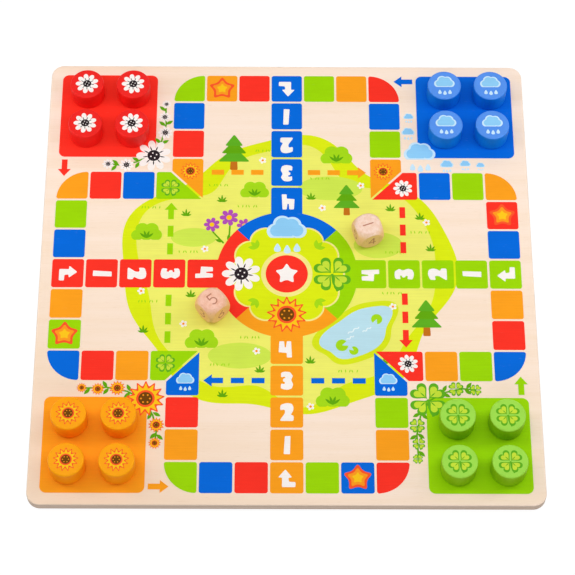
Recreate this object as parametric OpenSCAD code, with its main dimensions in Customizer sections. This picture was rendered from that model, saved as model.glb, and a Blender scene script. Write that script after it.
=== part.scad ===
// Wooden race board with sixteen pawns and two dice.
// Millimetres. +Z is up, the origin is at the middle of the board's underside,
// +X is the right-hand side and +Y the far side as a player sees the board.

/* [Board] */
// Side of the square plywood panel
board_side = 300; // [240:1:400]
// Thickness of the plywood
board_t = 6.5; // [4:0.5:12]
// Corner radius of the panel, seen from above
board_corner_r = 8; // [4:0.5:20]
// Radius of the eased edges, above and below
board_edge_r = 0.8; // [0.3:0.1:1.6]

/* [Track] */
// Thickness of a film of ink
ink_t = 0.1; // [0.05:0.01:0.3]
// Bare wood between the print and the panel's edge
print_margin = 7.4; // [4:0.1:16]
// Bare wood between neighbouring squares
square_gap = 1.3; // [0.8:0.1:3]
// Corner radius of a square
square_corner_r = 1.5; // [0.5:0.1:4]

/* [Bases] */
// Bare wood between a home base and the track beside it
base_gap = 10.8; // [6:0.1:16]
// Corner radius of a home base
base_corner_r = 4; // [1:0.5:10]

/* [Ring and finish] */
// Outer radius of the four-coloured ring
ring_r = 43; // [36:0.5:47]
// Inner radius of the four-coloured ring
ring_inner_r = 31; // [24:0.5:35]
// Radius of the round finish in the middle
finish_r = 12.8; // [8:0.2:20]

/* [Routes and arrows] */
// Width of a dash and of an arrow's shaft
dash_w = 3.5; // [2:0.1:5]
// Bare stretch between two dashes
dash_gap = 4.6; // [3:0.1:6]
// Bare stretch between a home column and the first dash
dash_lead = 4.2; // [2:0.1:8]
// Bare stretch between the last dash and the square beyond it
dash_end_gap = 6; // [4:0.1:8]
// Bare stretch between a route's arrow tip and the square beyond it
route_tip_gap = 2; // [1:0.1:3]
// Shift of a whole route back from its arrow's tip
route_shift = 0.7; // [0:0.1:2]
// Length of an arrow's head
arrow_head_l = 5; // [3:0.1:7]
// Width of an arrow's head
arrow_head_w = 8; // [5:0.1:10]
// Length of the start arrow beside a base, tip included
start_arrow_l = 11.9; // [8:0.1:14]
// Bare stretch between a base and its start arrow
start_arrow_gap = 2; // [0.5:0.1:3]

/* [Pawns] */
// Diameter of a pawn
pawn_d = 21; // [14:0.5:24]
// Height of a pawn
pawn_h = 13; // [8:0.5:30]
// Radius of a pawn's eased edges
pawn_edge_r = 1; // [0.3:0.1:2]
// Gap between neighbouring pawns in a base
pawn_gap = 8; // [2:0.5:12]

/* [Dice] */
// Side of a die
die_side = 16; // [10:0.5:20]
// Diameter of the ball that rounds a die's corners, over its side
die_ball_over = 5; // [4:0.1:8]
// Place of the left die from the middle, to the right
left_die_x = -44.5; // [-60:0.1:-20]
// Place of the left die from the middle, away from the player
left_die_y = -25.5; // [-50:0.1:50]
// Turn of the left die
left_die_turn = 42; // [0:1:90]
// Place of the right die from the middle, to the right
right_die_x = 49.3; // [20:0.1:60]
// Place of the right die from the middle, away from the player
right_die_y = 25.8; // [-50:0.1:50]
// Turn of the right die
right_die_turn = 20; // [0:1:90]

/* [Hidden] */
$fn = 96;
COLOURS = ["red", "blue", "green", "orange"];
PAINTS = ["#fd3426", "#0469da", "#9cd706", "#fda01e"];
BEECH = "#f0d8c0";
PLYWOOD = "#f5e1cf";
PAWNS_EACH = 4;
// How far each colour's pawns stand from the middle of their base, to the right and
// away from the player, over their diameter
PAWN_SHIFT_SHARES = [[0.05, 0.05], [0.07, 0.05], [0.07, -0.04], [0, -0.02]];
// The track has four arms, each a loop of thirteen squares
ARMS = 4;
ARM_SQUARES = 13;
// Squares up one side of an arm, its corner included, and along its top row
SIDE_SQUARES = 4;
ROW_SQUARES = ARM_SQUARES - 2 * SIDE_SQUARES + 2;
// Squares of a home column, the one in the top row included
HOME_SQUARES = 5;
// Dashes on each side of the home column
DASHES = 3;
// Colours of an arm's first square and of its home column, counted round COLOURS from its base
FIRST_COLOUR = 3;
HOME_COLOUR = 1;

// An arm's side starts level with the middle of the next arm's side column,
// so half the print holds half the steps of a row and then the squares of a side
HALF_SQUARES = (ROW_SQUARES - 1) / 2 + SIDE_SQUARES;
HALF_GAPS = HALF_SQUARES - 1;
print_reach = board_side / 2 - print_margin;
square_side = (print_reach - HALF_GAPS * square_gap) / HALF_SQUARES;
square_pitch = square_side + square_gap;
row_y = print_reach - square_side / 2;
side_x = (ROW_SQUARES - 1) / 2 * square_pitch;
split_y = row_y - (SIDE_SQUARES - 1) * square_pitch;
base_side = print_reach - side_x - square_side / 2 - base_gap;
base_centre = print_reach - base_side / 2;
pawn_step = pawn_d + pawn_gap;
print_top = board_t + ink_t;
// Longer than anything that it cuts
overrun = board_side;

// Rectangle centred on the origin, with round corners
module round_rectangle(w, h, r) {
    square([w - 2 * r, h], center = true);
    square([w, h - 2 * r], center = true);
    for (x = [-1, 1], y = [-1, 1])
        translate([x * (w / 2 - r), y * (h / 2 - r)])
            circle(r);
}

// Half section from the axis out to reach, with both outer edges eased
module eased_section(reach, height, ease) {
    square([reach - ease, height]);
    translate([0, ease])
        square([reach, height - 2 * ease]);
    for (y = [ease, height - ease])
        translate([reach - ease, y])
            circle(ease);
}

module board() {
    straight = board_side - 2 * board_corner_r;
    color(PLYWOOD)
    union() {
        translate([-straight / 2, -straight / 2])
            cube([straight, straight, board_t]);
        for (turn = [0:90:270])
            rotate([0, 0, turn])
                translate([straight / 2, straight / 2]) {
                    // Straight side
                    rotate([90, 0, 0])
                        linear_extrude(straight)
                            eased_section(board_corner_r, board_t, board_edge_r);
                    // Round corner
                    rotate_extrude(angle = 90)
                        eased_section(board_corner_r, board_t, board_edge_r);
                }
    }
}

// Plain square of the track
module track_square() {
    round_rectangle(square_side, square_side, square_corner_r);
}

// Square at an arm's outer left corner: a quarter disc, round on its outer side
module corner_square() {
    intersection() {
        track_square();
        translate([square_side / 2, -square_side / 2])
            circle(square_side);
    }
}

// Square at the foot of an arm's left side, cut along the board's diagonal
module split_square() {
    top_y = split_y + square_side / 2;
    intersection() {
        translate([-side_x, top_y / 2])
            round_rectangle(square_side, top_y, square_corner_r);
        // All that lies above the diagonal, half a gap clear of it
        translate([0, square_gap / sqrt(2)])
            polygon([[0, 0], [-overrun, overrun], [0, overrun]]);
    }
}

// Square number n of an arm's loop, counted from the left foot over the top
module arm_square(n) {
    last = ARM_SQUARES - 1;
    if (n > last / 2) {
        mirror([1, 0])
            arm_square(last - n);
    } else if (n == 0) {
        split_square();
    } else if (n < SIDE_SQUARES - 1) {
        translate([-side_x, split_y + n * square_pitch])
            track_square();
    } else if (n == SIDE_SQUARES - 1) {
        translate([-side_x, row_y])
            corner_square();
    } else {
        translate([(n - last / 2) * square_pitch, row_y])
            track_square();
    }
}

// Home column below the arm's middle square, and the quarter of the ring that it runs into
module home_column() {
    for (n = [1:HOME_SQUARES - 2])
        translate([0, row_y - n * square_pitch])
            track_square();
    last_top = row_y - (HOME_SQUARES - 1) * square_pitch + square_side / 2;
    difference() {
        union() {
            translate([0, last_top / 2])
                round_rectangle(square_side, last_top, square_corner_r);
            intersection() {
                circle(ring_r);
                polygon([[0, 0], [-overrun, overrun], [overrun, overrun]]);
            }
        }
        circle(ring_inner_r);
    }
}

// Arrow along +X whose tip is at the origin
module arrow(length) {
    translate([-length, -dash_w / 2])
        square([length - arrow_head_l, dash_w]);
    polygon([[0, 0], [-arrow_head_l, arrow_head_w / 2], [-arrow_head_l, -arrow_head_w / 2]]);
}

// Dashed route between the two split squares of an arm, its last dash an arrow
module flight_route() {
    first = square_side / 2 + dash_lead;
    far = side_x - square_side / 2;
    dash_l = (far - dash_end_gap - first - (DASHES - 1) * dash_gap) / DASHES;
    dash_step = dash_l + dash_gap;
    translate([-route_shift, split_y]) {
        for (n = [0:DASHES - 1])
            translate([-first - n * dash_step - dash_l, -dash_w / 2])
                square([dash_l, dash_w]);
        for (n = [0:DASHES - 2])
            translate([first + n * dash_step, -dash_w / 2])
                square([dash_l, dash_w]);
        translate([far - route_tip_gap, 0])
            arrow(far - route_tip_gap - first - (DASHES - 1) * dash_step);
    }
}

// Base in the corner to the left of an arm
module home_base() {
    translate([-base_centre, base_centre])
        round_rectangle(base_side, base_side, base_corner_r);
}

// Arrow from that base to the track
module start_arrow() {
    tip_y = print_reach - base_side - start_arrow_gap - start_arrow_l;
    translate([-print_reach + arrow_head_w / 2, tip_y])
        rotate([0, 0, -90])
            arrow(start_arrow_l);
}

// Everything that is printed in colour number c
module colour_print(c) {
    color(PAINTS[c])
    translate([0, 0, board_t])
    linear_extrude(ink_t)
    union() {
        for (arm = [0:ARMS - 1])
            rotate([0, 0, -90 * arm]) {
                for (n = [0:ARM_SQUARES - 1])
                    if ((n + arm + FIRST_COLOUR) % ARMS == c)
                        arm_square(n);
                if ((arm + HOME_COLOUR) % ARMS == c)
                    home_column();
                if ((arm + FIRST_COLOUR) % ARMS == c)
                    flight_route();
                if (arm == c) {
                    home_base();
                    start_arrow();
                }
            }
        if (c == 0)
            circle(finish_r);
    }
}

// Pawn number k of colour number c, standing in its base
module pawn(c, k) {
    x = -base_centre + (k % 2 - 1 / 2) * pawn_step;
    y = base_centre + (1 / 2 - floor(k / 2)) * pawn_step;
    shift = pawn_d * PAWN_SHIFT_SHARES[c];
    color(PAINTS[c])
    translate([shift.x, shift.y, print_top])
        rotate([0, 0, -90 * c])
            translate([x, y])
                rotate_extrude()
                    eased_section(pawn_d / 2, pawn_h, pawn_edge_r);
}

// Die standing on the print
module die(x, y, turn) {
    color(BEECH)
    translate([x, y, print_top + die_side / 2])
        rotate([0, 0, turn])
            intersection() {
                cube(die_side, center = true);
                sphere(d = die_side + die_ball_over);
            }
}

board();
for (c = [0:ARMS - 1]) {
    colour_print(c);
    for (k = [0:PAWNS_EACH - 1])
        pawn(c, k);
}
die(left_die_x, left_die_y, left_die_turn);  // left_die
die(right_die_x, right_die_y, right_die_turn);  // right_die
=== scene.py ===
"""Looks of a wooden race board with sixteen pawns and two dice.

Outlines are drawn in millimetres: +X is the right-hand side, +Y the far side and +Z up, from the
middle of the board's underside. Meshes are made from them in metres.
"""

import math

import bmesh
import bpy
from mathutils import Matrix, Vector


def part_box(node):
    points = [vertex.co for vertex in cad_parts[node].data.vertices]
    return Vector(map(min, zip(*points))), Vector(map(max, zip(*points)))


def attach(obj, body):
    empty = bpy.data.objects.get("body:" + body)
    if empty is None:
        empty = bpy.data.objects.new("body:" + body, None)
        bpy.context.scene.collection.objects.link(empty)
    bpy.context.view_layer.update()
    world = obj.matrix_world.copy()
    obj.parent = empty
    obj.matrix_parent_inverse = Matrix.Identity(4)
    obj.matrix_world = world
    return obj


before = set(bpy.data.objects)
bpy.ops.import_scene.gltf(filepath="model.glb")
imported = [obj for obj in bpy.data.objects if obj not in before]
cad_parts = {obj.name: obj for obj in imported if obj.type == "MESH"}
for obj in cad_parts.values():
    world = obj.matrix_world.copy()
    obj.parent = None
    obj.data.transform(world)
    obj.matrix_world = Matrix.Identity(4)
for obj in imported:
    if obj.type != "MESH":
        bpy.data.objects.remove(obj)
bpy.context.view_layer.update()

MM = 0.001
COLOURS = ["red", "blue", "green", "orange"]
PAWNS_EACH = 4
ARMS = 4

# Layout of the track: seven squares and the gaps between them fill half of the print
BOARD_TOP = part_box("board")[1].z / MM
PRINT_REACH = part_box("green_print")[1].x / MM
HALF_SQUARES = 7
SQUARE_GAP = 1.3
SQUARE_SIDE = (PRINT_REACH - (HALF_SQUARES - 1) * SQUARE_GAP) / HALF_SQUARES
PITCH = SQUARE_SIDE + SQUARE_GAP
ROW_Y = PRINT_REACH - SQUARE_SIDE / 2
SIDE_X = 3 * PITCH
SPLIT_Y = ROW_Y - 3 * PITCH
BONUS_X = -2 * PITCH
FINISH_R = 12.8

# Places round COLOURS from an arm's own base to the colour of its home column and of its route
HOME_COLOUR = 1
ROUTE_COLOUR = 3

# Depth to which a film reaches into what it is printed on
SINK = 0.02
# Rise from one film to the next of the same ink, and from one ink of a mark to the next
FILM_STEP = 0.001
INK_STEP = 0.012
# Heights of films above the bare board. No two films that overlap end level
LEVELS = {
    "ground": 0.02,
    "field": 0.03,
    "patch": 0.04,
    "bank": 0.05,
    "water": 0.06,
    "trunk": 0.06,
    "fir": 0.065,
    "stem": 0.068,
    "plant": 0.07,
    "tuft": 0.074,
    "petal": 0.08,
    "eye": 0.088,
    "spray_stem": 0.104,
    "spray_leaf": 0.107,
    "rosette_rim": 0.11,
    "rosette": 0.115,
    "collar": 0.12,
    "mark": 0.125,
}


# Colours
def linear(colour):
    """Scene-linear colour of a six-figure hex colour, with full alpha."""
    parts = [int(colour[at : at + 2], 16) / 255 for at in (1, 3, 5)]
    return tuple(p / 12.92 if p <= 0.04045 else ((p + 0.055) / 1.055) ** 2.4 for p in parts) + (1.0,)


def shade(colour, share):
    """A scene-linear colour made darker or paler."""
    return tuple(min(1.0, part * share) for part in colour[:3]) + (1.0,)


# Finishes
class Feed:
    """One output socket of a finish. Sums on it add Math nodes."""

    def __init__(self, finish, socket):
        self.finish = finish
        self.socket = socket

    def maths(self, operation, first, second):
        return self.finish.add("ShaderNodeMath", {"operation": operation}, {0: first, 1: second})

    def __add__(self, other):
        return self.maths("ADD", self, other)

    __radd__ = __add__

    def __sub__(self, other):
        return self.maths("SUBTRACT", self, other)

    def __rsub__(self, other):
        return self.maths("SUBTRACT", other, self)

    def __mul__(self, other):
        return self.maths("MULTIPLY", self, other)

    __rmul__ = __mul__

    def __mod__(self, other):
        return self.maths("FLOORED_MODULO", self, other)

    def __abs__(self):
        return self.maths("ABSOLUTE", self, 0.0)


class Nodes:
    """A node tree, built up in plain steps."""

    def __init__(self, tree):
        self.tree = tree

    def add(self, kind, settings=None, sockets=None, output=0):
        """A node of that kind. Its settings are set first, then its sockets are filled or linked."""
        node = self.tree.nodes.new(kind)
        for name, value in (settings or {}).items():
            setattr(node, name, value)
        for name, value in (sockets or {}).items():
            if isinstance(value, Feed):
                self.tree.links.new(value.socket, node.inputs[name])
            else:
                node.inputs[name].default_value = value
        return Feed(self, node.outputs[output])

    def surface(self, source):
        """Ends the tree in that shader."""
        self.tree.links.new(source.socket, self.tree.get_output_node("ALL").inputs["Surface"])

    def seen(self):
        """1 for what the camera sees, straight or in a gloss or glass."""
        straight = self.add("ShaderNodeLightPath", output="Is Camera Ray")
        glossy = self.add("ShaderNodeLightPath", output="Is Glossy Ray")
        through = self.add("ShaderNodeLightPath", output="Is Transmission Ray")
        return straight.maths("MAXIMUM", straight, through.maths("MAXIMUM", glossy, through))


class Finish(Nodes):
    """A material, with what feeds its surface."""

    def __init__(self, name, constants=None):
        self.material = bpy.data.materials.new(name)
        self.material.use_nodes = True
        super().__init__(self.material.node_tree)
        self.shader = self.tree.nodes["Principled BSDF"]
        for socket, value in (constants or {}).items():
            self.shader.inputs[socket].default_value = value

    def feed(self, socket, source):
        self.tree.links.new(source.socket, self.shader.inputs[socket])

    def where(self):
        """Place on the piece, in metres."""
        return self.add("ShaderNodeTexCoord", output="Object")

    def along(self, axis, vector):
        return self.add("ShaderNodeSeparateXYZ", None, {0: vector}, axis)

    def upward(self):
        """How far the surface faces up, from -1 to 1."""
        return self.along("Z", self.add("ShaderNodeTexCoord", output="Normal"))

    def noise(self, where, stretch, detail=2.0):
        """Noise with stretch features to the metre along X, Y and Z."""
        drawn = self.add("ShaderNodeVectorMath", {"operation": "MULTIPLY"}, {0: where, 1: stretch})
        return self.add("ShaderNodeTexNoise", None, {"Vector": drawn, "Scale": 1.0, "Detail": detail})

    def between(self, value, low, high):
        """0 below low, 1 above high, and smooth in between."""
        sockets = {"Value": value, "From Min": low, "From Max": high}
        return self.add("ShaderNodeMapRange", {"interpolation_type": "SMOOTHSTEP"}, sockets)

    def mix(self, share, first, second):
        """Colour that goes from first to second."""
        return self.add("ShaderNodeMix", {"data_type": "RGBA"}, {0: share, 6: first, 7: second}, 2)

    def relief(self, height, depth):
        """Bump of that depth in millimetres."""
        sockets = {"Height": height, "Strength": 1.0, "Distance": depth * MM}
        self.feed("Normal", self.add("ShaderNodeBump", None, sockets))


# Features to the metre in wood: slow figure, fibres and pores, along its grain (X) and across it
FIGURE = (5.0, 130.0, 130.0)
FIBRES = (45.0, 1500.0, 1500.0)
PORES = (190.0, 3600.0, 3600.0)


def plywood_finish():
    pale = linear("#fde7d5")
    warm = linear("#f9e0c8")
    # tan is also the colour of the plywood's painted shade towards its near left-hand corner
    tan = linear("#f0d4b6")
    pore = linear("#dfc0a0")
    ply_long = linear("#dfcdbe")
    ply_end = linear("#ceb5a1")
    glue = linear("#a68770")
    ply_t = 0.0013

    finish = Finish("plywood", {"Specular IOR Level": 0.08})
    where = finish.where()
    figure = finish.noise(where, FIGURE, 3.0)
    fibres = finish.noise(where, FIBRES)
    pores = finish.between(finish.noise(where, PORES, 1.0), 0.66, 0.78)
    tone = finish.between(figure * 0.7 + fibres * 0.3, 0.34, 0.72)
    face = finish.mix(tone, pale, warm)
    # Painted shade: the veneer is painted a little darker towards its near left-hand corner, where less
    # light falls
    corner = finish.along("X", where) + finish.along("Y", where)
    painted_shade = 1 - finish.between(corner, -0.27, -0.07)
    face = finish.mix(painted_shade * 0.6, face, tan)
    face = finish.mix(pores * 0.35, face, pore)
    # Plies show on the sides, every second one with its fibres end on
    height = finish.along("Z", where)
    layer = (height % (2 * ply_t)) * (1 / ply_t)
    end_on = finish.between(layer, 0.95, 1.05)
    dots = finish.noise(where, (2600.0, 2600.0, 2600.0), 1.0)
    side = finish.mix(end_on, ply_long, ply_end)
    side = finish.mix(finish.between(dots, 0.5, 0.75) * 0.35, side, glue)
    seam = finish.between(abs((height % ply_t) * (1 / ply_t) - 0.5), 0.44, 0.5)
    side = finish.mix(seam * 0.5, side, glue)
    upright = 1 - finish.between(abs(finish.upward()), 0.45, 0.8)
    finish.feed("Base Color", finish.mix(upright, face, side))
    finish.feed("Roughness", 0.5 + 0.2 * fibres)
    finish.relief(fibres - pores * 0.8, 0.02)
    return finish


def ink_finish(name, colour):
    """Screen ink on wood: the fibres show through as a faint relief and as pinholes."""
    full = linear(colour)
    finish = Finish(name, {"Specular IOR Level": 0.03})
    where = finish.where()
    fibres = finish.noise(where, FIBRES)
    patches = finish.noise(where, (60.0, 90.0, 90.0))
    pinholes = finish.between(finish.noise(where, PORES, 1.0), 0.74, 0.8)
    tone = finish.between(fibres * 0.5 + patches * 0.5, 0.3, 0.7)
    body = finish.mix(tone, shade(full, 0.95), shade(full, 1.03))
    finish.feed("Base Color", finish.mix(pinholes * 0.08, body, linear("#f3dcc4")))
    finish.feed("Roughness", 0.42 + 0.16 * fibres)
    finish.relief(fibres - pinholes * 0.6, 0.012)
    return finish


def paint_finish(name, side_colour, top_colour):
    """Paint on a turned pawn: sprayed skin, turning marks round the side, and a painted highlight of paler
    paint on the eased edge.
    """
    side = linear(side_colour)
    top = linear(top_colour)
    finish = Finish(name, {"Specular IOR Level": 0.1})
    where = finish.where()
    upward = finish.upward()
    skin = finish.noise(where, (900.0, 900.0, 900.0), 1.0)
    turned = finish.noise(where, (90.0, 90.0, 2400.0), 1.0)
    patches = finish.noise(where, (130.0, 130.0, 130.0))
    tone = finish.between(patches, 0.3, 0.7)
    cap = finish.between(upward, 0.55, 0.95)
    # Painted highlight: the eased edge round the top is painted in a paler shade of the top's colour
    rim_highlight = finish.between(upward, 0.15, 0.5) * (1 - finish.between(upward, 0.8, 0.98))
    side_paint = finish.mix(tone, shade(side, 0.94), shade(side, 1.04))
    top_paint = finish.mix(tone, shade(top, 0.97), shade(top, 1.02))
    paint = finish.mix(cap, side_paint, top_paint)
    finish.feed("Base Color", finish.mix(rim_highlight * 0.5, paint, shade(top, 1.12)))
    finish.feed("Roughness", 0.34 + 0.12 * skin)
    finish.relief(skin * 0.5 + turned * (1 - cap) * 0.5, 0.03)
    return finish


def die_finish():
    """Bare beech with its grain upright: streaks and flecks on the sides, dots on top."""
    pale = linear("#fadccb")
    warm = linear("#f1cab1")
    pale_pink = linear("#f8c8b2")
    warm_pink = linear("#efb69a")
    tan = linear("#efbf78")
    fleck = linear("#cf9e74")
    finish = Finish("die_wood", {"Specular IOR Level": 0.08})
    where = finish.where()
    streaks = finish.noise(where, (420.0, 420.0, 30.0), 3.0)
    fibres = finish.noise(where, (2600.0, 2600.0, 160.0), 1.0)
    flecks = finish.between(finish.noise(where, (1500.0, 1500.0, 420.0), 1.0), 0.64, 0.74)
    tone = finish.between(streaks * 0.7 + fibres * 0.3, 0.36, 0.66)
    # The left-hand die is cut from a pinker block
    rightward = finish.between(finish.along("X", where), -0.01, 0.01)
    body = finish.mix(rightward, finish.mix(tone, pale_pink, warm_pink), finish.mix(tone, pale, warm))
    # Sides are darker and yellower than the sanded top
    upright = 1 - finish.between(abs(finish.upward()), 0.4, 0.78)
    body = finish.mix(upright * 0.8, body, tan)
    finish.feed("Base Color", finish.mix(flecks * 0.45, body, fleck))
    finish.feed("Roughness", 0.5 + 0.2 * fibres)
    finish.relief(fibres - flecks * 0.7, 0.02)
    return finish


BASE_INKS = {"red": "#fd3426", "blue": "#0469da", "green": "#9cd706", "orange": "#fda01e"}
PAWN_SIDES = {"red": "#f1211c", "blue": "#0878de", "green": "#88bc0e", "orange": "#ff9a0e"}
PAWN_TOPS = {"red": "#ee241f", "blue": "#5591eb", "green": "#9edc4c", "orange": "#ffa402"}
INK_COLOURS = {
    "white": "#fbf4ef",
    "black": "#2a2126",
    "cream": "#f6ea8c",
    "lime": "#dcea14",
    "field": "#efee6c",
    "patch": "#cfe850",
    "bush": "#a5da1a",
    "leaf": "#62a80e",
    "trunk": "#c4701c",
    "bank": "#d8e61c",
    "water": "#bbe0ec",
    "ripple": "#e6f5f8",
    "purple": "#b24fb4",
    "sky": "#8fcdf5",
    "pale_sky": "#c9e8fb",
    "yellow": "#fcc61c",
    "amber": "#fd9a22",
    "ember": "#f9582a",
    "brown": "#6e430c",
    "clover": "#c8e13c",
    "fern": "#5fae22",
    "burnt": "#bb7c66",
}
inks = {name: ink_finish(name + "_ink", colour) for name, colour in INK_COLOURS.items()}


# Outlines
def polar(reach, steps=96):
    """Closed outline at the distance reach(angle) from its middle."""
    angles = [math.tau * step / steps for step in range(steps)]
    return [(reach(a) * math.cos(a), reach(a) * math.sin(a)) for a in angles]


def disc(radius, steps=40):
    return polar(lambda angle: radius, steps)


def oval(width, height, steps=40):
    return [(x * width / 2, y * height / 2) for x, y in disc(1.0, steps)]


def placed(outline, x=0.0, y=0.0, turn=0.0, size=1.0):
    """Outline scaled, turned by turn degrees and moved to x, y."""
    cos = math.cos(math.radians(turn)) * size
    sin = math.sin(math.radians(turn)) * size
    return [(x + cos * u - sin * v, y + sin * u + cos * v) for u, v in outline]


def rounded(corners, radius, steps=4):
    """Closed outline through corners, each one eased from radius before it to radius after it."""
    most = 0.45  # Largest share of a side that one eased corner takes
    outline = []
    points = [Vector(corner) for corner in corners]
    for at, corner in enumerate(points):
        before = points[at - 1] - corner
        after = points[(at + 1) % len(points)] - corner
        start = corner + before.normalized() * min(radius, before.length * most)
        end = corner + after.normalized() * min(radius, after.length * most)
        for step in range(steps + 1):
            t = step / steps
            point = start * (1 - t) ** 2 + corner * 2 * t * (1 - t) + end * t**2
            outline.append((point.x, point.y))
    return outline


def star(points, reach, waist, ease):
    corners = []
    for step in range(2 * points):
        angle = math.pi / 2 + math.pi * step / points
        radius = waist if step % 2 else reach
        corners.append((radius * math.cos(angle), radius * math.sin(angle)))
    return rounded(corners, ease)


def petals(count, reach, waist, blunt=0.55):
    """Flower of round petals."""
    return polar(
        lambda angle: waist + (reach - waist) * abs(math.sin(count * angle / 2)) ** blunt, count * 14
    )


def bunch(discs, floor):
    """Outline round a heap of discs (x, y, radius) that stands on the height floor."""

    def reach(angle):
        ray = (math.cos(angle), math.sin(angle))
        far = 0.0
        for x, y, radius in discs:
            ahead = x * ray[0] + y * ray[1]
            aside = x * x + y * y - ahead * ahead
            if aside < radius * radius:
                far = max(far, ahead + math.sqrt(radius * radius - aside))
        if ray[1] < 0:
            far = min(far, floor / ray[1])
        return far

    return polar(reach, 120)


def leaf(length, width, steps=10):
    """Pointed leaf from the origin along +Y."""
    upper = [(width / 2 * math.sin(math.pi * t / steps), length * t / steps) for t in range(steps + 1)]
    lower = [(-x, y) for x, y in upper[-2:0:-1]]
    return upper + lower


def heart(size, steps=40):
    """Heart whose tip is at the origin and which reaches up to size."""
    tip = -17
    height = 29
    outline = []
    for step in range(steps):
        t = math.tau * step / steps
        x = 16 * math.sin(t) ** 3
        y = 13 * math.cos(t) - 5 * math.cos(2 * t) - 2 * math.cos(3 * t) - math.cos(4 * t)
        outline.append((x * size / height, (y - tip) * size / height))
    return outline


def drop(length):
    corners = [(0, 0.6), (0.42, -0.2), (0.3, -0.6), (-0.3, -0.6), (-0.42, -0.2)]
    return placed(rounded(corners, 0.3), size=length)


def arc(x, y, radius, start, end, steps=10):
    """Points of an arc, from start to end in degrees."""
    angles = [math.radians(start + (end - start) * step / steps) for step in range(steps + 1)]
    return [(x + radius * math.cos(a), y + radius * math.sin(a)) for a in angles]


def stroke(points, width):
    """Outline of a line of that width through points."""
    line = [Vector(point) for point in points]
    left = []
    right = []
    for at, point in enumerate(line):
        ahead = line[min(at + 1, len(line) - 1)] - point
        back = point - line[max(at - 1, 0)]
        heading = (ahead.normalized() + back.normalized()).normalized()
        side = Vector((-heading.y, heading.x)) * (width / 2)
        left.append(tuple(point + side))
        right.append(tuple(point - side))
    return left + right[::-1]


# Printed pieces
class Print:
    """A piece made of closed films of ink. carrier takes millimetres on a face into the frame."""

    def __init__(self, name, body, carrier):
        self.name = name
        self.body = body
        self.carrier = carrier
        self.mesh = bmesh.new()
        self.finishes = []

    def ring(self, outline, height):
        return [self.mesh.verts.new(self.carrier @ Vector((x, y, height))) for x, y in outline]

    def film(self, finish, height, outline, hole=None):
        """Film up to that height. A hole has as many points as the outline."""
        if finish not in self.finishes:
            self.finishes.append(finish)
        top = self.ring(outline, height)
        base = self.ring(outline, -SINK)
        count = len(outline)
        faces = [(base[at - 1], base[at], top[at], top[at - 1]) for at in range(count)]
        if hole:
            inner_top = self.ring(hole, height)
            inner_base = self.ring(hole, -SINK)
            for at in range(count):
                faces.append((top[at - 1], top[at], inner_top[at], inner_top[at - 1]))
                faces.append((base[at], base[at - 1], inner_base[at - 1], inner_base[at]))
                faces.append((inner_base[at], inner_base[at - 1], inner_top[at - 1], inner_top[at]))
        else:
            faces.append(tuple(top))
            faces.append(tuple(reversed(base)))
        for corners in faces:
            self.mesh.faces.new(corners).material_index = self.finishes.index(finish)

    def mark(self, layers, height, x=0.0, y=0.0, turn=0.0, size=1.0):
        """A mark of several inks, each a little above the one before. No two films end level."""
        for finish, outlines in layers:
            for number, outline in enumerate(outlines):
                self.film(finish, height + FILM_STEP * number, placed(outline, x, y, turn, size))
            height += INK_STEP

    def done(self, slot=None):
        bmesh.ops.recalc_face_normals(self.mesh, faces=self.mesh.faces)
        data = bpy.data.meshes.new(self.name)
        self.mesh.to_mesh(data)
        self.mesh.free()
        for finish in self.finishes:
            data.materials.append(finish.material)
        piece = bpy.data.objects.new(self.name, data)
        bpy.context.scene.collection.objects.link(piece)
        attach(piece, self.body)


def face_of(x, y, z):
    """Carrier for an upward face at that place, in millimetres."""
    return Matrix.Diagonal((MM, MM, MM, 1.0)) @ Matrix.Translation((x, y, z))


BOARD_FACE = face_of(0.0, 0.0, BOARD_TOP)


def board_print(name):
    return Print(name, "board", BOARD_FACE)


def arm_place(outline, arm):
    """Outline drawn for the far arm, turned to another one."""
    return placed(outline, turn=-90.0 * arm)


# Marks of the four colours, one unit in radius
def daisy():
    seeds = [placed(placed(disc(0.045, 10), 0.17), turn=90.0 * n + 20) for n in range(4)]
    nicks = [placed(placed(leaf(0.34, 0.07), 0.0, 0.3), turn=40.0 * n + 20) for n in range(9)]
    return [
        (inks["white"], [petals(9, 1.0, 0.5)]),
        (inks["black"], nicks + [disc(0.36, 32)]),
        (inks["white"], seeds),
    ]


def cloud():
    puffs = [
        (0.0, 0.0, 0.5), (-0.5, -0.06, 0.4), (0.52, -0.04, 0.38), (-0.2, 0.32, 0.42), (0.26, 0.28, 0.4),
    ]
    inner = [(x * 0.86, y * 0.86 + 0.02, radius * 0.8) for x, y, radius in puffs]
    drops = [placed(drop(0.4), x, y) for x, y in ((-0.42, -0.68), (0.02, -0.76), (0.46, -0.68))]
    return [
        (inks["pale_sky"], [placed(bunch(puffs, -0.4), 0.0, 0.2)] + drops),
        (inks["sky"], [placed(bunch(inner, -0.32), 0.0, 0.2)]),
    ]


def sunflower():
    seeds = [placed(placed(disc(0.05, 10), 0.24), turn=60.0 * n) for n in range(6)]
    return [
        (inks["ember"], [star(13, 1.08, 0.7, 0.12)]),
        (inks["yellow"], [star(13, 0.94, 0.56, 0.1)]),
        (inks["ember"], [disc(0.5, 32)]),
        (inks["brown"], [disc(0.38, 32)]),
        (inks["amber"], seeds),
    ]


def clover():
    leaves = [placed(placed(heart(0.94), 0.0, 0.05), turn=90.0 * n + 45) for n in range(4)]
    inner = [placed(placed(heart(0.66), 0.0, 0.16), turn=90.0 * n + 45) for n in range(4)]
    veins = [placed(placed(leaf(0.4, 0.07), 0.0, 0.18), turn=90.0 * n + 45) for n in range(4)]
    stem = stroke([(0.0, 0.0), (0.06, -0.5), (0.28, -1.0)], 0.13)
    return [
        (inks["fern"], leaves + [stem]),
        (inks["clover"], inner),
        (inks["fern"], veins),
    ]


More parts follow.
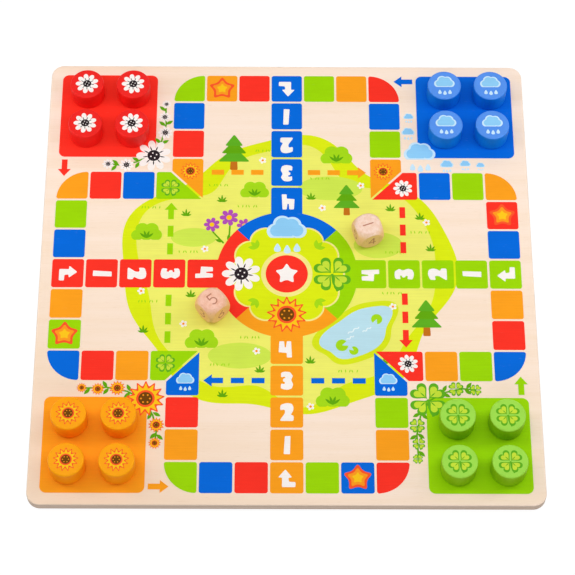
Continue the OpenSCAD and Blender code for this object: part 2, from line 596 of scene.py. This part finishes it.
MARKS = {"red": daisy(), "blue": cloud(), "green": clover(), "orange": sunflower()}
STAR_MARK = [
    (inks["ember"], [star(5, 1.06, 0.58, 0.3)]),
    (inks["amber"], [star(5, 0.78, 0.42, 0.22)]),
    (inks["yellow"], [star(5, 0.44, 0.24, 0.12)]),
]


# Meadow under the track. Patches of grass: x, y, width and height
PATCHES = [(27, 60, 40, 17), (-57, 25, 28, 13), (-28, -55, 38, 17), (56, 20, 30, 18)]


def meadow():
    def border(angle):
        waves = 4.4 * math.sin(5 * angle + 0.2) + 2.4 * math.sin(9 * angle + 2.2)
        return 95.5 + 3.5 * math.cos(2 * angle) + 2.5 * math.cos(4 * angle) + waves

    def inside(angle):
        return border(angle) - 9.5 - 3.5 * math.sin(6 * angle + 1.0) - 1.5 * math.sin(11 * angle + 2.0)

    ground = board_print("meadow")
    ground.film(inks["lime"], LEVELS["ground"], polar(border, 240))
    ground.film(inks["field"], LEVELS["field"], polar(inside, 240))
    for x, y, width, height in PATCHES:
        ground.film(inks["patch"], LEVELS["patch"], placed(oval(width, height), x, y))
    ground.done("green_ink")


POND_PLACE = (42.5, -39.5)
POND_TURN = 35
# Half length and half width of the bank and of the water
BANK_HALVES = (27.5, 17)
WATER_HALVES = (23.5, 13.5)
# Lily pads: x, y, radius and turn
PADS = [(33, -48, 3.8, 20), (40, -51.5, 2.8, 140), (54, -30.5, 3.4, 250)]
# Ripples: x, y and length
RIPPLES = [(40, -38, 8.0), (48, -37.5, 6.0), (38, -43, 5.0)]


def pond():
    def shore(angle):
        return 1 + 0.09 * math.sin(3 * angle + 0.5) + 0.05 * math.sin(5 * angle + 1.5)

    water = board_print("pond")
    for ink, (length, width) in (("bank", BANK_HALVES), ("water", WATER_HALVES)):
        pool = [(x * length, y * width) for x, y in polar(shore)]
        water.film(inks[ink], LEVELS[ink], placed(pool, *POND_PLACE, POND_TURN))
    for x, y, radius, turn in PADS:
        pad = [(0.0, 0.0)] + arc(0.0, 0.0, radius, 25, 335, 28)
        water.film(inks["bush"], LEVELS["plant"], placed(pad, x, y, turn))
    for x, y, span in RIPPLES:
        wave = [(span * (t / 12 - 0.5), 0.5 * math.sin(math.tau * t / 6)) for t in range(13)]
        water.film(inks["ripple"], LEVELS["plant"], placed(stroke(wave, 0.7), x, y, POND_TURN))
    water.done("blue_ink")


# Bushes and firs: x, y and size
BUSHES = [(-20, 57, 8.5), (31, 82, 9.5), (-86, 27, 9.0), (-51, -46, 9.5), (27, -84, 9.5)]
BUSH_PUFFS = [
    (0, 0.1, 0.55), (-0.62, -0.06, 0.42), (0.62, -0.04, 0.44), (-0.3, 0.42, 0.46), (0.34, 0.4, 0.48),
]
BUSH_BLADES = [-50, -18, 16, 48]
FIRS = [(-33, 79, 10.0), (84, -36, 9.5), (37, 46, 8.5)]
FIR_TRUNK = [(-0.2, 0.2), (-0.24, -0.6), (0.24, -0.6), (0.2, 0.2)]
FIR_TIERS = [
    ((-1, 0), (1, 0), (0, 1.1)),
    ((-0.8, 0.6), (0.8, 0.6), (0, 1.6)),
    ((-0.58, 1.15), (0.58, 1.15), (0, 2)),
]
TIER_STEP = 0.008
TUFT_BLADES = [-70, -36, 0, 34, 68]
TUFTS = [
    (-40, 50), (-16, -66), (15, 52), (64, 44), (58, -60), (-62, 40),
    (-58, -16), (14, -60), (-86, -40), (82, 38), (-38, -82), (88, 16),
]
GRASS_ROWS = [
    (-42, 61), (21, 66), (-22, -44), (66, 14), (-60, 14), (36, -66),
    (-84, 45), (64, -14), (-24, 46), (-14, 86), (82, 28), (-40, -62), (-84, -20),
]


def greenery():
    """Bushes, fir trees, tufts and rows of short grass."""
    plants = board_print("greenery")
    for x, y, size in BUSHES:
        plants.film(inks["bush"], LEVELS["plant"], placed(bunch(BUSH_PUFFS, -0.42), x, y, 0.0, size))
        for number, turn in enumerate(BUSH_BLADES):
            blade = placed(leaf(0.62, 0.16), 0.0, -0.3, turn)
            level = LEVELS["petal"] + FILM_STEP * number
            plants.film(inks["leaf"], level, placed(blade, x, y, 0.0, size))
    for x, y, size in FIRS:
        plants.film(inks["trunk"], LEVELS["trunk"], placed(rounded(FIR_TRUNK, 0.1), x, y, 0.0, size))
        for number, tier in enumerate(FIR_TIERS):
            ink = inks["leaf"] if number == 1 else inks["fern"]
            level = LEVELS["fir"] + TIER_STEP * number
            plants.film(ink, level, placed(rounded(tier, 0.16), x, y, 0.0, size))
    for x, y in TUFTS:
        for number, turn in enumerate(TUFT_BLADES):
            # Blades that lean out are shorter
            length = 5.2 - 0.024 * abs(turn)
            level = LEVELS["tuft"] + FILM_STEP * number
            plants.film(inks["leaf"], level, placed(leaf(length, 1.2), x, y, turn))
    blades = 6
    apart = 2.2
    for x, y in GRASS_ROWS:
        for blade in range(blades):
            aside = apart * (blade - (blades - 1) / 2)
            tilt = 24 * math.sin(2.4 * blade + x)
            plants.film(inks["bush"], LEVELS["plant"], placed(leaf(2.2, 0.7), x + aside, y, tilt))
    plants.done("green_ink")


SMALL_BLOSSOMS = [
    (-50, 17), (46, 62), (-18, -52), (64, -22), (22, 46),
    (-62, -34), (14, -88), (-88, -12), (-15, 80), (86, 36),
]
# Tall ones: x, y and radius, and the height on the board where their stems meet
TALL_BLOSSOMS = [(-46, 34, 5.0), (-35.5, 39, 5.8), (-26, 33.5, 4.8)]
STEM_FOOT_Y = 21


def blossoms():
    """Small white blossoms in the grass and a stand of tall purple ones."""
    flowers = board_print("blossoms")
    for x, y in SMALL_BLOSSOMS:
        flowers.film(inks["white"], LEVELS["petal"], placed(petals(5, 2.4, 1.0), x, y))
        flowers.film(inks["amber"], LEVELS["eye"], placed(disc(0.8, 14), x, y))
    middle = TALL_BLOSSOMS[1][0]
    for number, (x, y, size) in enumerate(TALL_BLOSSOMS):
        aside = x - middle
        foot = middle + 0.3 * aside
        rise = FILM_STEP * number
        stem = stroke([(x, y), (x + 0.6, y - 5), (foot, STEM_FOOT_Y)], 1.0)
        blade = placed(leaf(5.4, 2.2), foot, STEM_FOOT_Y + 1, -7.0 * aside)
        flowers.film(inks["leaf"], LEVELS["stem"] + rise, stem)
        flowers.film(inks["leaf"], LEVELS["tuft"] + rise, blade)
        flowers.film(inks["purple"], LEVELS["petal"] + rise, placed(petals(7, size, size * 0.5), x, y))
        flowers.film(inks["yellow"], LEVELS["eye"] + 2 * FILM_STEP, placed(disc(size * 0.3, 20), x, y))
    flowers.done()


meadow()
pond()
greenery()
blossoms()


# Hub: rosette inside the ring, and the finish
SCALLOPS = 12
SCALLOP_DEPTH = 3.4
# Outer and inner radii of the rosette's rim, of its field and of the collar round the finish
RIM_RADII = (32.0, 29.0)
FIELD_RADII = (30.9, 15.0)
COLLAR_RADII = (15.6, FINISH_R)
# Distance of the hub's marks and leaves from the middle, and the size of each mark
HUB_MARK_R = 27.6
HUB_LEAF_R = 25.0
HUB_MARKS = {"red": 11.8, "blue": 13.6, "green": 11.8, "orange": 11.8}


def hub():
    steps = SCALLOPS * 14

    def scallop(reach):
        return polar(
            lambda angle: reach + SCALLOP_DEPTH * abs(math.cos(SCALLOPS * angle / 2)) ** 0.7, steps
        )

    rosette = board_print("hub_rosette")
    rosette.film(inks["cream"], LEVELS["rosette_rim"], scallop(RIM_RADII[0]), disc(RIM_RADII[1], steps))
    rosette.film(inks["lime"], LEVELS["rosette"], scallop(FIELD_RADII[0]), disc(FIELD_RADII[1], steps))
    rosette.film(inks["cream"], LEVELS["collar"], *(disc(radius, steps) for radius in COLLAR_RADII))
    rosette.done("green_ink")

    marks = board_print("hub_marks")
    for arm in range(ARMS):
        colour = COLOURS[(arm + HOME_COLOUR) % ARMS]
        spot = arm_place([(0.0, HUB_MARK_R)], arm)[0]
        marks.mark(MARKS[colour], LEVELS["mark"], *spot, size=HUB_MARKS[colour])
    for corner in range(ARMS):
        angle = math.radians(45 + 90 * corner)
        spot = (HUB_LEAF_R * math.cos(angle), HUB_LEAF_R * math.sin(angle))
        for number in (-1, 0, 1):
            blade = placed(leaf(6.0, 2.6), *spot, 90.0 * corner - 45 + 40 * number)
            marks.film(inks["bush"], LEVELS["mark"] + FILM_STEP * number, blade)
    marks.done()

    finish_star = board_print("finish_star")
    finish_star.film(inks["white"], LEVELS["mark"], star(5, 7.6, 3.9, 1.8))
    finish_star.done()


hub()

# Numbers and the turning arrow, as read from an arm's own side
TURN_ARROW = [
    (-0.8, 5.2), (-5.0, 0.2), (-2.7, 0.1), (-2.8, -5.8), (5.0, -5.8), (5.1, -2.7), (1.3, -2.5), (0.9, -0.1),
    (3.1, 0.2),
]
ONE = [(-1.1, 5.5), (2.2, 5.6), (1.9, -5.9), (-1.8, -5.8)]
TWO = [
    (-3.7, 4.9), (-0.1, 6.1), (3.0, 5.7), (4.1, 3.2), (3.6, 0.7), (2.2, -1.5), (4.1, -2.0), (4.0, -5.4),
    (-3.9, -5.4), (-3.6, -4.2), (-1.1, -0.6), (-1.0, 1.2), (-1.7, 2.0), (-3.9, 1.3),
]
THREE = [
    (-3.4, 5.1), (-1.1, 5.9), (1.9, 5.6), (3.7, 3.0), (2.5, 0.6), (3.8, -2.4), (3.0, -5.1), (0.6, -6.0),
    (-2.1, -5.6), (-3.6, -4.9), (-3.3, -1.8), (-1.3, -2.4), (-1.0, -0.9), (-2.2, -0.6), (-2.2, 1.2),
    (-0.9, 1.5), (-0.8, 2.3), (-1.8, 2.6), (-3.3, 2.0),
]
FOUR = [
    (-4.4, 5.2), (-1.6, 5.3), (-1.2, 1.2), (-0.5, 1.2), (0.1, 5.3), (2.6, 5.3), (3.1, -5.4), (0.1, -5.4),
    (0.0, -2.4), (-4.8, -2.0),
]
# Each figure with the ease of its corners, from the rim to the hub
FIGURES = [(TURN_ARROW, 0.7), (ONE, 0.5), (TWO, 1.1), (THREE, 0.8), (FOUR, 0.5)]
# How far each arm's figures are printed nearer to the hub
HUBWARD = [0.6, 0.0, 0.0, 0.6]


def numbers():
    printed = board_print("numbers")
    for arm in range(ARMS):
        for step, (corners, ease) in enumerate(FIGURES):
            middle = ROW_Y - step * PITCH - HUBWARD[arm]
            upright = placed(rounded(corners, ease), 0.0, middle, 180.0)
            printed.film(inks["white"], LEVELS["mark"], arm_place(upright, arm))
    printed.done()


numbers()


# Sprays at a base's inner corner, drawn for the far left-hand base: x, y and size of each mark
SPRAY_MARKS = [
    (-83.2, 83.2, 11.0),
    (-76.4, 100.0, 4.6),
    (-77.0, 111.5, 3.8),
    (-76.2, 121.0, 3.0),
    (-100.0, 76.4, 4.6),
    (-111.5, 77.0, 3.6),
]
SPRAY_STEMS = [
    [(-84.0, 84.0), (-78.5, 94.0), (-76.0, 106.0), (-76.6, 121.0)],
    [(-84.0, 84.0), (-94.0, 78.5), (-104.0, 76.2), (-112.0, 77.0)],
]
# Leaves on the stems: x, y and turn
SPRAY_LEAVES = [
    (-78.6, 92.0, -62), (-79.2, 92.0, 40), (-76.4, 105.0, 52), (-76.2, 106.0, -58), (-76.6, 116.0, 48),
    (-92.0, 79.2, 62), (-92.0, 78.6, 152), (-105.0, 76.4, 48), (-106.0, 76.2, 140),
]


def base_spray(sprays, arm, colour):
    """A stem of leaves each way from the corner with the colour's marks on it. Clouds have no stem."""
    if colour != "blue":
        for number, stem in enumerate(SPRAY_STEMS):
            level = LEVELS["spray_stem"] + FILM_STEP * number
            sprays.film(inks["leaf"], level, arm_place(stroke(stem, 1.0), arm))
        for number, (x, y, turn) in enumerate(SPRAY_LEAVES):
            blade = placed(leaf(5.2, 2.2), x, y, turn)
            level = LEVELS["spray_leaf"] + FILM_STEP * number
            sprays.film(inks["leaf"], level, arm_place(blade, arm))
    for number, (x, y, size) in enumerate(SPRAY_MARKS):
        spot = arm_place([(x, y)], arm)[0]
        sprays.mark(MARKS[colour], LEVELS["mark"] + FILM_STEP * number, *spot, size=size)


BONUS_STAR_SIZE = 8.8
SPLIT_MARK_SIZE = 6.0
# Place of a split square's mark from the middle of a whole square, inwards and outwards
SPLIT_INWARD = 1.6
SPLIT_OUTWARD = 0.8


def square_marks():
    """Stars on the bonus squares, and each colour's mark on its split squares and at its base."""
    stars = board_print("bonus_stars")
    split = board_print("split_marks")
    sprays = board_print("base_sprays")
    for arm in range(ARMS):
        spot = arm_place([(BONUS_X, ROW_Y)], arm)[0]
        stars.mark(STAR_MARK, LEVELS["mark"], *spot, size=BONUS_STAR_SIZE)
        colour = COLOURS[(arm + ROUTE_COLOUR) % ARMS]
        for side in (-1, 1):
            place = (side * (SIDE_X - SPLIT_INWARD), SPLIT_Y + SPLIT_OUTWARD)
            spot = arm_place([place], arm)[0]
            split.mark(MARKS[colour], LEVELS["mark"], *spot, size=SPLIT_MARK_SIZE)
        # The arm's own base lies to its left
        base_spray(sprays, arm, COLOURS[arm])
    stars.done("orange_ink")
    split.done()
    sprays.done()


square_marks()


# Pawns
PAWN_MARK_SIZE = 7.2
PAWN_MARK_LEVEL = 0.03


def pawn_marks():
    for colour in COLOURS:
        for number in range(1, PAWNS_EACH + 1):
            node = f"{colour}_pawn_{number}"
            low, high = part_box(node)
            face = face_of((low.x + high.x) / 2 / MM, (low.y + high.y) / 2 / MM, high.z / MM)
            printed = Print(f"{node}_mark", node, face)
            printed.mark(MARKS[colour], PAWN_MARK_LEVEL, size=PAWN_MARK_SIZE)
            printed.done(f"{colour}_ink")


pawn_marks()


# Dice
DIE_STROKE = 0.75
# Height of a figure's first stroke above the face, and the rise from each stroke to the next
DIE_LEVEL = 0.008
DIE_STEP = 0.002
# Strokes of each figure. A stroke ends where its line turns a corner
DIE_FIGURES = {
    1: [[(0.0, 3.4), (0.0, -3.4)]],
    2: [arc(0.0, 1.5, 1.9, 160, -30), [(1.6, 0.6), (-2.0, -3.3)], [(-2.2, -3.3), (2.1, -3.3)]],
    3: [arc(-0.1, 1.7, 1.7, 150, -80, 14), arc(-0.1, -1.6, 1.9, 85, -150, 14)],
    4: [[(0.9, -3.4), (0.9, 3.4)], [(0.9, 3.4), (-2.2, -1.2)], [(-2.4, -1.2), (2.2, -1.2)]],
    5: [[(1.8, 3.2), (-1.9, 3.2)], [(-1.6, 3.4), (-1.6, 0.2)], arc(-0.1, -1.3, 2.1, 136, -142, 18)],
    6: [[(1.2, 3.4), (-1.6, -0.2)], arc(0.0, -1.4, 2.0, 150, 498, 24)],
}


def die_numbers(node, turn, faces):
    """Burnt figures on a die that stands turned by turn degrees.

    faces gives the figure for each outward direction, and its own turn on the face.
    """
    low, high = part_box(node)
    middle = (low + high) / 2
    half = (high.z - low.z) / 2 / MM
    printed = Print(f"{node}_figures", node, Matrix())
    for outward, (figure, spin) in faces.items():
        out = Vector(outward)
        up = Vector((0, 1, 0)) if abs(out.z) > 0.5 else Vector((0, 0, 1))
        right = up.cross(out)
        axes = Matrix((right, up, out)).transposed().to_4x4()
        face = axes @ Matrix.Translation((0.0, 0.0, half)) @ Matrix.Rotation(math.radians(spin), 4, "Z")
        printed.carrier = Matrix.Translation(middle) @ Matrix.Diagonal((MM, MM, MM, 1.0))
        printed.carrier = printed.carrier @ Matrix.Rotation(math.radians(turn), 4, "Z") @ face
        for number, line in enumerate(DIE_FIGURES[figure]):
            printed.film(inks["burnt"], DIE_LEVEL + DIE_STEP * number, stroke(line, DIE_STROKE))
    printed.done("die_wood")


die_numbers(
    "left_die",
    42.0,
    {
        (0, 0, 1): (5, -4.0), (0, 0, -1): (2, 0.0), (0, -1, 0): (6, 0.0),
        (0, 1, 0): (1, 0.0), (-1, 0, 0): (3, 0.0), (1, 0, 0): (4, 0.0),
    },
)
die_numbers(
    "right_die",
    20.0,
    {
        (0, 0, 1): (1, 90.0), (0, 0, -1): (6, 0.0), (0, -1, 0): (4, 0.0),
        (0, 1, 0): (3, 0.0), (-1, 0, 0): (5, 0.0), (1, 0, 0): (2, 0.0),
    },
)


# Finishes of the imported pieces
def dress(node, finish):
    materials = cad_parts[node].data.materials
    materials.clear()
    materials.append(finish.material)


dress("board", plywood_finish())
wood = die_finish()
dress("left_die", wood)
dress("right_die", wood)
for colour in COLOURS:
    dress(f"{colour}_print", ink_finish(f"{colour}_ink", BASE_INKS[colour]))
    paint = paint_finish(f"{colour}_paint", PAWN_SIDES[colour], PAWN_TOPS[colour])
    for number in range(1, PAWNS_EACH + 1):
        dress(f"{colour}_pawn_{number}", paint)


# Floor, light and camera
WHITE = (1.0, 1.0, 1.0, 1.0)
# Shares of light that the floor throws back: onto the part, and to the eye beside its own glow
FLOOR_BOUNCE = 0.8
FLOOR_SEEN = 0.16
FLOOR_GLOW = 0.9
ROOM_LIGHT = 0.285
# Soft boxes: place, width and depth in metres, and power in watts
SOFT_BOXES = {
    "overhead": ((0.0, -0.12, 1.25), 1.1, 0.8, 3.7),
    "left_box": ((-0.42, 0.04, 0.36), 0.2, 0.9, 1.3),
    "right_box": ((0.42, 0.04, 0.36), 0.2, 0.9, 1.32),
    "front_box": ((0.0, -0.9, 0.45), 0.9, 0.4, 1.68),
    "back_box": ((0.0, 0.36, 0.26), 0.8, 0.1, 0.27),
}
# Millimetres for the lens, metres for the place and degrees for the turns about X, Y and Z
SENSOR_WIDTH = 36.0
CAMERA_LENS = 129.03
CAMERA_PLACE = (-0.0083, -0.58015, 1.11576)
CAMERA_TURNS = (27.231, -0.448, -0.008)


def floor():
    """White paper floor: a plain bounce for the light, nearly shadowless to the eye."""
    span = 4.0
    below = -0.0002
    data = bpy.data.meshes.new("floor")
    corners = [(-span, -span, below), (span, -span, below), (span, span, below), (-span, span, below)]
    data.from_pydata(corners, [], [(0, 1, 2, 3)])
    paper = Finish("paper")
    bounce = paper.add("ShaderNodeBsdfDiffuse", None, {"Color": shade(WHITE, FLOOR_BOUNCE)})
    faint = paper.add("ShaderNodeBsdfDiffuse", None, {"Color": shade(WHITE, FLOOR_SEEN)})
    glow = paper.add("ShaderNodeEmission", None, {"Strength": FLOOR_GLOW})
    both = paper.add("ShaderNodeAddShader", None, {0: faint, 1: glow})
    paper.surface(paper.add("ShaderNodeMixShader", None, {0: paper.seen(), 1: bounce, 2: both}))
    data.materials.append(paper.material)
    piece = bpy.data.objects.new("floor", data)
    bpy.context.scene.collection.objects.link(piece)


def soft_box(name, place, width, depth, power):
    """Soft box aimed at the middle of the board."""
    lamp = bpy.data.lights.new(name, "AREA")
    lamp.shape = "RECTANGLE"
    lamp.size = width
    lamp.size_y = depth
    lamp.energy = power
    piece = bpy.data.objects.new(name, lamp)
    piece.location = place
    piece.rotation_euler = (-Vector(place)).to_track_quat("-Z", "Y").to_euler()
    bpy.context.scene.collection.objects.link(piece)


def studio():
    """White room with a wide box overhead, one to each side, one in front and a slim one behind."""
    world = bpy.data.worlds.new("studio")
    bpy.context.scene.world = world
    world.use_nodes = True
    walls = Nodes(world.node_tree)
    room = walls.add("ShaderNodeBackground", None, {"Color": WHITE, "Strength": ROOM_LIGHT})
    backdrop = walls.add("ShaderNodeBackground", None, {"Color": WHITE, "Strength": 1.0})
    walls.surface(walls.add("ShaderNodeMixShader", None, {0: walls.seen(), 1: room, 2: backdrop}))
    for name, box in SOFT_BOXES.items():
        soft_box(name, *box)


def camera():
    lens = bpy.data.cameras.new("camera")
    lens.sensor_width = SENSOR_WIDTH
    lens.lens = CAMERA_LENS
    piece = bpy.data.objects.new("camera", lens)
    piece.location = CAMERA_PLACE
    piece.rotation_euler = [math.radians(angle) for angle in CAMERA_TURNS]
    bpy.context.scene.collection.objects.link(piece)
    bpy.context.scene.camera = piece


floor()
studio()
camera()
bpy.context.scene.view_settings.view_transform = "Standard"
